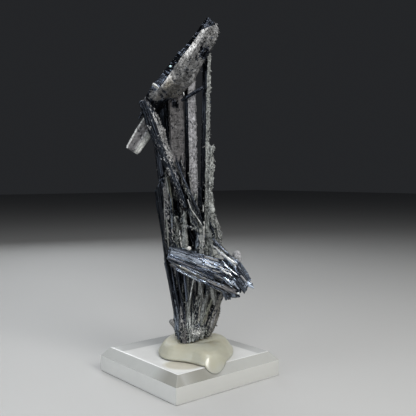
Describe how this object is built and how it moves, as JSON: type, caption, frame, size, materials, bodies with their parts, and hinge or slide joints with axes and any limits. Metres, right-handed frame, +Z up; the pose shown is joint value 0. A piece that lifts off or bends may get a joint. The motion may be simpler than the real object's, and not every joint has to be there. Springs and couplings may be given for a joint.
{
  "type": "stibnite crystal spray on a display base",
  "caption": "Upright spray of striated stibnite crystals with a pale druse crust, a bundle of blades across its front, glued to a square bevelled acrylic base.",
  "frame": {"origin": "middle of the underside of the acrylic base", "axes": "+Z up; the base's sides lie along X and Y; the spray's broad front faces between +X and -Y, 50 degrees round from -Y"},
  "size_m": [0.0508, 0.0508, 0.1395],
  "materials": {
    "acrylic": "clear polished acrylic, slightly milky",
    "hot_glue": "translucent milky hot-melt glue, glossy",
    "stibnite": "dark blue-grey metallic lustre, striated along its length, with a pale granular druse",
    "pale_crystal": "pale grey translucent crystal, dull to silky"
  },
  "bodies": {
    "root": {"acrylic_base": "acrylic", "hot_glue": "hot_glue", "upright_spray": "stibnite", "cross_bundle": "stibnite", "diagonal_crystal": "stibnite", "top_blade": "stibnite", "pale_knob": "pale_crystal"}
  },
  "joints": []
}
